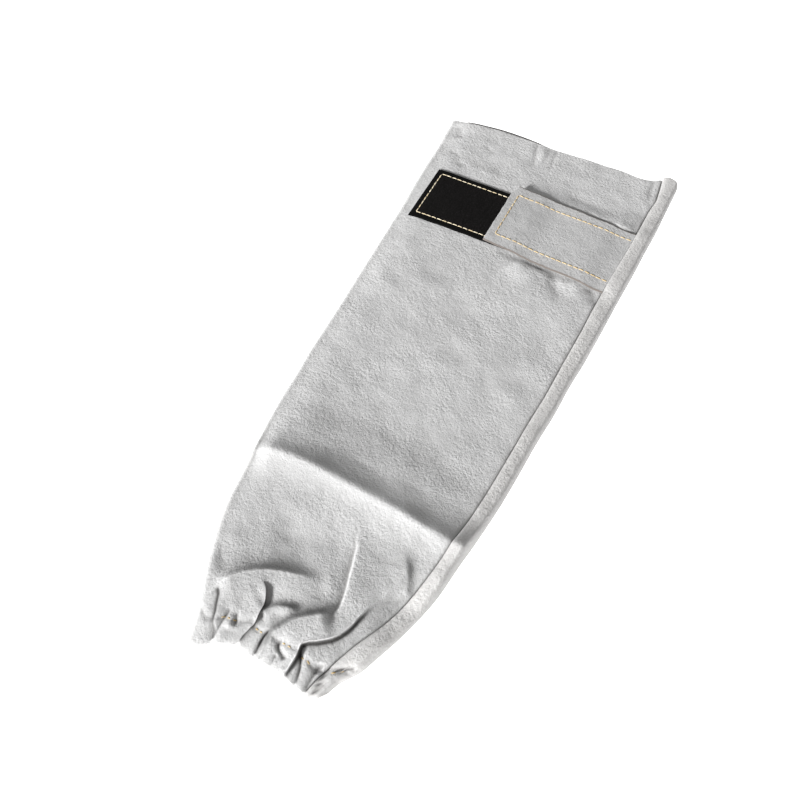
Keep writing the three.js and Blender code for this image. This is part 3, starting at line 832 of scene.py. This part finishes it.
def sew(name, lines, height_at, share, seed, pitch=STITCH_PITCH, shift=None):
    """Rows of stitches along lines of (across, along) places, lying in the surface that height_at gives."""
    random = np.random.default_rng(seed)
    points, faces, tones = [], [], []
    for line in lines:
        line = np.array(line, float)
        steps = np.concatenate([[0], np.cumsum(np.hypot(*np.diff(line, axis=0).T))])
        count = max(int(round(steps[-1] / pitch)), 1)
        for k in range(count):
            reach = steps[-1] / count
            start = (k + 0.5) * reach - share * reach / 2 + random.uniform(-0.06, 0.06) * reach
            side = random.uniform(-0.12, 0.12)
            tone = random.uniform(0, 1)
            base = len(points)
            for part, full, stand in STITCH_SECTIONS:
                at = start + part * share * reach
                x, y = along_line(line, steps, at)
                ahead = along_line(line, steps, at + 0.4) - along_line(line, steps, at - 0.4)
                ahead = ahead / np.hypot(*ahead)
                over = np.array([-ahead[1], ahead[0]])
                z = float(height_at(np.array([x]), np.array([y]))[0]) + stand * STITCH_HEIGHT
                if shift:
                    y = y + float(shift(np.array([x]), np.array([y]), 0)[0])
                for corner in range(6):
                    angle = math.pi * corner / 3
                    out = (side * (part - 0.5) + math.cos(angle) * full / 2) * STITCH_WIDTH
                    up = math.sin(angle) * full * STITCH_HEIGHT / 2
                    points.append(to_frame(x + over[0] * out, y + over[1] * out, z + up))
                    tones.append(tone)
            for ring in range(len(STITCH_SECTIONS) - 1):
                for corner in range(6):
                    a = base + ring * 6 + corner
                    b = base + ring * 6 + (corner + 1) % 6
                    faces.append((a, b, b + 6, a + 6))
            faces.append(tuple(base + c for c in range(6))[::-1])
            faces.append(tuple(base + 6 * (len(STITCH_SECTIONS) - 1) + c for c in range(6)))
    piece = smooth_piece(name, [tuple(p) for p in points], faces)
    add_attribute(piece, "tone", np.array(tones))
    recalculate_outwards(piece)
    return piece


def recalculate_outwards(piece):
    """Turns every face outwards."""
    bpy.ops.object.select_all(action="DESELECT")
    bpy.context.view_layer.objects.active = piece
    piece.select_set(True)
    bpy.ops.object.mode_set(mode="EDIT")
    bpy.ops.mesh.select_all(action="SELECT")
    bpy.ops.mesh.normals_make_consistent(inside=False)
    bpy.ops.object.mode_set(mode="OBJECT")
    piece.select_set(False)


sleeve = make_sleeve()
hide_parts("leather_sleeve")

strap = make_strap()
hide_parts("closing_strap")

patch = make_patch()
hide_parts("loop_patch")

tape = make_tape()
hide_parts("hook_tape")

elastic = make_elastic()
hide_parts("cuff_elastic")


def strap_line(across_from, across_to, share_from, share_to):
    """A line on the strap between two places, given across the sleeve and as shares of the strap's width."""
    across = np.linspace(across_from, across_to, 24)
    share = np.linspace(share_from, share_to, 24)
    return np.column_stack([across, strap_along(across, share)])


strap_stitches = sew("strap_stitches", [
    strap_line(75.2, -7.4, 0.118, 0.148),
    strap_line(-7.4, -7.4, 0.148, 0.858),
    strap_line(-7.4, 73.0, 0.858, 0.838),
], strap_top, share=0.93, seed=3)
row_left = PATCH_START + PATCH_STITCH_INSET
row_right = row_left + PATCH_STITCH_RUN
row_top = PATCH_TOP + PATCH_STITCH_INSET
row_low = PATCH_TOP + PATCH_WIDTH - PATCH_STITCH_INSET
patch_stitches = sew("patch_stitches", [
    [(row_right, row_top), (row_left, row_top)],
    [(row_left, row_top), (row_left, row_low)],
    [(row_left, row_low), (row_right, row_low)],
], patch_top, share=0.96, seed=4)
HEM_STRETCHES = [(-27, -18), (-9, -3), (8, 14.5), (19, 26), (36, 43)]
hem_stitches = sew("hem_stitches", [
    [(start, HEM_SEAM), (end, HEM_SEAM)] for start, end in HEM_STRETCHES
], top_height, pitch=3.2, share=0.55, seed=5, shift=shift_along)


class Share:
    """A number that varies over a surface and takes part in plain arithmetic."""

    def __init__(self, finish, socket):
        self.finish = finish
        self.socket = socket

    def _do(self, operation, *values):
        settings = {"operation": operation}
        return self.finish.add("Math", settings, dict(enumerate(values)))

    def __add__(self, other):
        return self._do("ADD", self, other)

    __radd__ = __add__

    def __rsub__(self, other):
        return self._do("SUBTRACT", other, self)

    def __mul__(self, other):
        return self._do("MULTIPLY", self, other)

    __rmul__ = __mul__

    def above(self, start, end):
        """0 below start, 1 above end."""
        settings = {"interpolation_type": "SMOOTHSTEP"}
        return self.finish.add("MapRange", settings, {0: self, 1: start, 2: end})


class Finish:
    """A material with its nodes."""

    def __init__(self, name, **constants):
        self.material = bpy.data.materials.new(name)
        self.material.use_nodes = True
        self.tree = self.material.node_tree
        self.shader = self.tree.nodes["Principled BSDF"]
        for socket, value in constants.items():
            self.shader.inputs[socket.replace("_", " ")].default_value = value

    def add(self, kind, settings=None, inputs=None, output=0):
        node = self.tree.nodes.new("ShaderNode" + kind)
        for key, value in (settings or {}).items():
            setattr(node, key, value)
        for key, value in (inputs or {}).items():
            if isinstance(value, Share):
                self.tree.links.new(value.socket, node.inputs[key])
            else:
                node.inputs[key].default_value = value
        return Share(self, node.outputs[output])

    def place(self):
        """Places on the piece, turned so that no pattern lines up with its length."""
        flat = self.add("TexCoord", output="Object")
        return self.add("Mapping", None, {"Vector": flat, "Rotation": (0.7, 0.5, 0.9)})

    def attribute(self, name):
        return self.add("Attribute", {"attribute_name": name}, output="Fac")

    def noise(self, scale, detail=2.0, place=None, roughness=0.5):
        inputs = {"Vector": place or self.place(), "Scale": scale, "Detail": detail, "Roughness": roughness}
        return self.add("TexNoise", None, inputs)

    def stretched(self, scale):
        flat = self.add("TexCoord", output="Object")
        return self.add("Mapping", None, {"Vector": flat, "Scale": scale})

    def mix(self, share, first, second, blend="MIX"):
        settings = {"data_type": "RGBA", "blend_type": blend}
        return self.add("Mix", settings, {0: share, 6: first, 7: second}, output=2)

    def shaded(self, colour, tone):
        """The colour, made lighter and darker by the tone."""
        even = self.add("CombineColor", None, {0: tone, 1: tone, 2: tone})
        return self.mix(1.0, colour, even, "MULTIPLY")

    def finish(self, colour, roughness, bumps):
        """Joins the colour, the roughness and the bumps, each a height with its distance and strength."""
        link = self.tree.links.new
        link(colour.socket, self.shader.inputs["Base Color"])
        self.shader.inputs["Roughness"].default_value = roughness
        normal = None
        for height, distance, strength in bumps:
            inputs = {"Height": height, "Distance": distance, "Strength": strength}
            if normal:
                inputs["Normal"] = normal
            normal = self.add("Bump", None, inputs)
        link(normal.socket, self.shader.inputs["Normal"])
        return self.material


def grey(value, warm=0.0):
    """An almost neutral colour, a little warmer or cooler."""
    return (value * (1 + warm), value, value * (1 - warm), 1.0)


def suede_finish(name, shade, depth):
    """Napped split leather: a fine raised nap, brushed lighter and darker patches, edges rubbed light by wear
    with a painted highlight on bends and crests, and painted shade in bends, hollows and crevices.
    """
    f = Finish(name, Specular_IOR_Level=0.12, Sheen_Weight=0.22, Sheen_Roughness=0.45)
    patches = f.noise(18.0, 3.0)
    cloudy = f.noise(95.0, 3.0)
    nap = f.noise(520.0, 5.0, roughness=0.7)
    cells = f.add("TexVoronoi", {"feature": "SMOOTH_F1"}, {"Vector": f.place(), "Scale": 620.0})
    pebbles = 1.0 - cells
    grain = f.noise(1500.0, 3.0, roughness=0.7)
    rough = f.noise(40.0, 2.0).above(0.35, 0.6)
    tone = 0.76 + 0.26 * patches + 0.12 * cloudy + 0.08 * nap + 0.14 * grain
    pale = f.mix(f.attribute("band"), grey(shade, 0.004), grey(shade + 0.02, 0.018))
    # Bent-out places and broad crests paler: wear and a painted highlight
    worn_and_highlit = f.mix(f.attribute("bent_out") * 0.45, f.shaded(pale, tone), grey(0.80, 0.004))
    crests = f.mix(f.attribute("crest") * 0.45, worn_and_highlit, grey(0.80, 0.004))
    # Painted shade: bent-in places and broad hollows darker
    shaded_bends = f.mix(f.attribute("bent_in") * 0.6, crests, grey(0.16, 0.03))
    hollows = f.mix(f.attribute("hollow") * 0.4, shaded_bends, grey(0.16, 0.03))
    # Painted shade in the folds' crevices, the deepest almost black
    crevices = f.mix(f.attribute("crevice") * 0.92, hollows, grey(0.03, 0.06))
    seam = f.mix(f.attribute("seam") * 0.9, crevices, grey(0.06, 0.1))
    # Cut edges dark brown: partly their own colour, partly a painted shadow line along them
    colour = f.mix(f.attribute("cut_edge_and_shadow") * 0.85, seam, (0.11, 0.085, 0.07, 1.0))
    relief = nap + (0.35 + 0.5 * rough) * pebbles
    return f.finish(colour, 0.96, [(cloudy, 0.003, 0.3), (relief, depth, 0.5), (grain, 0.0007, 0.6)])


def pile_finish():
    """Black loop tape: a fuzzy pile in faint ribs, and a smooth woven selvage."""
    f = Finish("loop_tape", Specular_IOR_Level=0.06)
    inside = f.attribute("from_edge").above(4.0, 5.2)
    fuzz = f.noise(1500.0, 4.0, roughness=0.7)
    ribs = f.noise(1.0, 2.0, f.stretched((650.0, 90.0, 100.0)))
    weave = f.noise(1.0, 1.0, f.stretched((300.0, 2600.0, 300.0)))
    tone = 0.35 + 0.9 * fuzz + 0.5 * ribs
    black = f.shaded(grey(0.006, 0.06), tone)
    flecks = fuzz.above(0.5, 0.72) * inside
    colour = f.mix(flecks * 0.5, f.mix(inside, grey(0.004), black), (0.050, 0.043, 0.048, 1.0))
    height = inside * (fuzz + 0.7 * ribs) + (1 - inside) * 0.25 * weave
    return f.finish(colour, 0.9, [(height, 0.0008, 0.8)])


def tape_finish():
    """Black woven tape with rows of fine hooks."""
    f = Finish("hook_tape", Specular_IOR_Level=0.4)
    hooks = f.noise(1100.0, 2.0)
    colour = f.mix(hooks, grey(0.010), grey(0.03))
    return f.finish(colour, 0.6, [(hooks, 0.0005, 0.7)])


def elastic_finish():
    """Off-white woven elastic."""
    f = Finish("elastic", Specular_IOR_Level=0.3)
    weave = f.noise(900.0, 2.0)
    colour = f.mix(weave, (0.70, 0.68, 0.62, 1), (0.84, 0.82, 0.76, 1))
    return f.finish(colour, 0.85, [(weave, 0.0003, 0.6)])


def thread_finish(name, pale, deep):
    """Spun sewing thread, twisted, each stitch a little lighter or darker."""
    f = Finish(name, Specular_IOR_Level=0.3, Sheen_Weight=0.15)
    twist = f.noise(2600.0, 1.0)
    colour = f.mix(0.25 * twist + 0.75 * f.attribute("tone"), deep, pale)
    return f.finish(colour, 0.7, [(twist, 0.00025, 0.6)])


sleeve.data.materials.append(suede_finish("suede", 0.52, 0.0008))
strap.data.materials.append(suede_finish("strap_suede", 0.47, 0.0006))
patch.data.materials.append(pile_finish())
tape.data.materials.append(tape_finish())
elastic.data.materials.append(elastic_finish())
gold_thread = thread_finish("gold_thread", (0.74, 0.60, 0.36, 1), (0.60, 0.42, 0.18, 1))
cream_thread = thread_finish("cream_thread", (0.86, 0.78, 0.60, 1), (0.70, 0.55, 0.32, 1))
strap_stitches.data.materials.append(gold_thread)
hem_stitches.data.materials.append(gold_thread)
patch_stitches.data.materials.append(cream_thread)

# Table, light and camera
bpy.ops.object.select_all(action="DESELECT")
bpy.ops.mesh.primitive_plane_add(size=8.0, location=(0, 0, -0.0004))
floor = bpy.context.active_object
floor.name = "table_top"
table = Finish("table_top", Emission_Color=(1.0, 1.0, 1.0, 1.0), Emission_Strength=1.5)
speck = table.noise(4.0)
table.finish(table.mix(speck, grey(0.78), grey(0.8)), 0.9, [(speck, 0.0001, 0.05)])
floor.data.materials.append(table.material)

key_light = bpy.data.lights.new("key", "SUN")
key_light.angle = math.radians(11)
key_light.energy = 6.3
key = new_object("key", key_light)
key.location = (0, 0, 2)
key.rotation_euler = Vector((0.48, 1.0, -0.46)).to_track_quat("-Z", "Y").to_euler()
world = bpy.data.worlds.new("studio")
world.use_nodes = True
world.node_tree.nodes["Background"].inputs["Color"].default_value = (1.0, 1.0, 1.0, 1.0)
world.node_tree.nodes["Background"].inputs["Strength"].default_value = 0.30
bpy.context.scene.world = world
bpy.context.scene.view_settings.view_transform = "Standard"

CAMERA_TURN = math.radians(27.0)
CAMERA_DIP = math.radians(57.8)
camera_data = bpy.data.cameras.new("camera")
camera_data.lens = 40.5
camera = new_object("camera", camera_data)
camera.location = (0.1237, -0.2972, 0.466)
look = Vector((
    -math.sin(CAMERA_TURN) * math.cos(CAMERA_DIP),
    math.cos(CAMERA_TURN) * math.cos(CAMERA_DIP),
    -math.sin(CAMERA_DIP),
))
camera.rotation_euler = look.to_track_quat("-Z", "Y").to_euler()
bpy.context.scene.camera = camera
